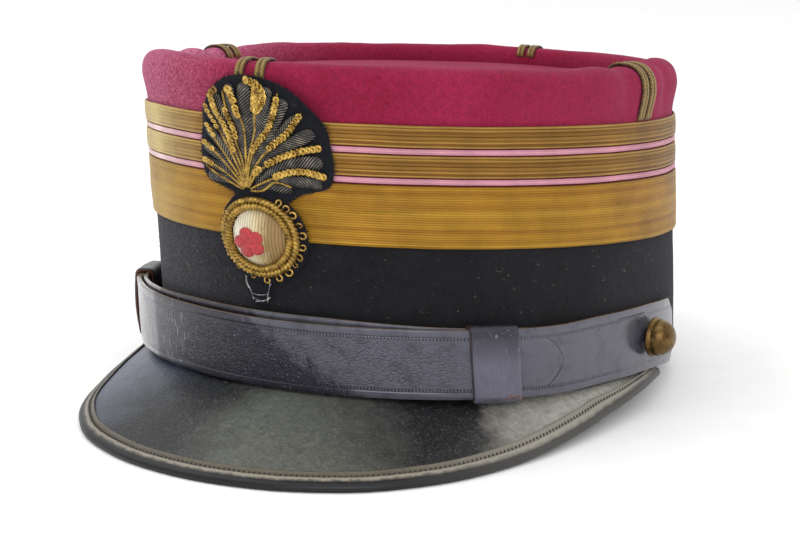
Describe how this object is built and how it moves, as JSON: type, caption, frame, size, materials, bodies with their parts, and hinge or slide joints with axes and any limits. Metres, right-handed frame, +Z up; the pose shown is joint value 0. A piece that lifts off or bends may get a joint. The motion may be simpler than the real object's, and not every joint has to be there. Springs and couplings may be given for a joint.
{
  "type": "kepi cap",
  "caption": "Kepi: oval black and crimson cloth cap with gold rank lace, embroidered badge, patent chin strap and leather peak.",
  "frame": {"origin": "middle of the bounding box on the surface the cap stands on", "axes": "-Y is the front of the cap, +X the wearer's left, +Z up"},
  "size_m": [0.1984, 0.2464, 0.1234],
  "materials": {
    "black_wool": "fulled black wool cloth",
    "crimson_wool": "fulled crimson wool cloth",
    "gold_lace": "flat woven metallic lace, ribbed lengthways",
    "pink_silk": "woven silk stripe",
    "gold_braid": "plaited narrow metallic braid",
    "badge_felt": "dark blue-black felt",
    "grey_bullion": "twisted dark metallic embroidery thread",
    "gold_bullion": "coiled gold embroidery wire and sequins",
    "silver_bullion": "laid silvery cream embroidery wire",
    "red_thread": "raised silk embroidery",
    "patent_leather": "glossy varnished leather, crazed in places",
    "keeper_leather": "worn dark leather with raw brown edges",
    "peak_leather": "worn black leather, semi-gloss",
    "brass": "aged stamped brass"
  },
  "bodies": {
    "root": {"band": "black_wool", "crown_side": "crimson_wool", "crown_top": "crimson_wool", "lace_wide": "gold_lace", "lace_middle": "gold_lace", "lace_top": "gold_lace", "silk_stripe_lower": "pink_silk", "silk_stripe_upper": "pink_silk", "soutache_front_1": "gold_braid", "soutache_front_2": "gold_braid", "soutache_left_1": "gold_braid", "soutache_left_2": "gold_braid", "soutache_back_1": "gold_braid", "soutache_back_2": "gold_braid", "soutache_right_1": "gold_braid", "soutache_right_2": "gold_braid", "badge_backing": "badge_felt", "badge_flame": "grey_bullion", "badge_ball_rim": "gold_bullion", "badge_ball": "silver_bullion", "badge_rosette": "red_thread", "badge_tab": "badge_felt", "strap_inner": "patent_leather", "strap_outer": "patent_leather", "keeper_right": "keeper_leather", "keeper_left": "keeper_leather", "button_left": "brass", "button_right": "brass", "peak": "peak_leather", "peak_binding": "peak_leather"}
  },
  "joints": []
}
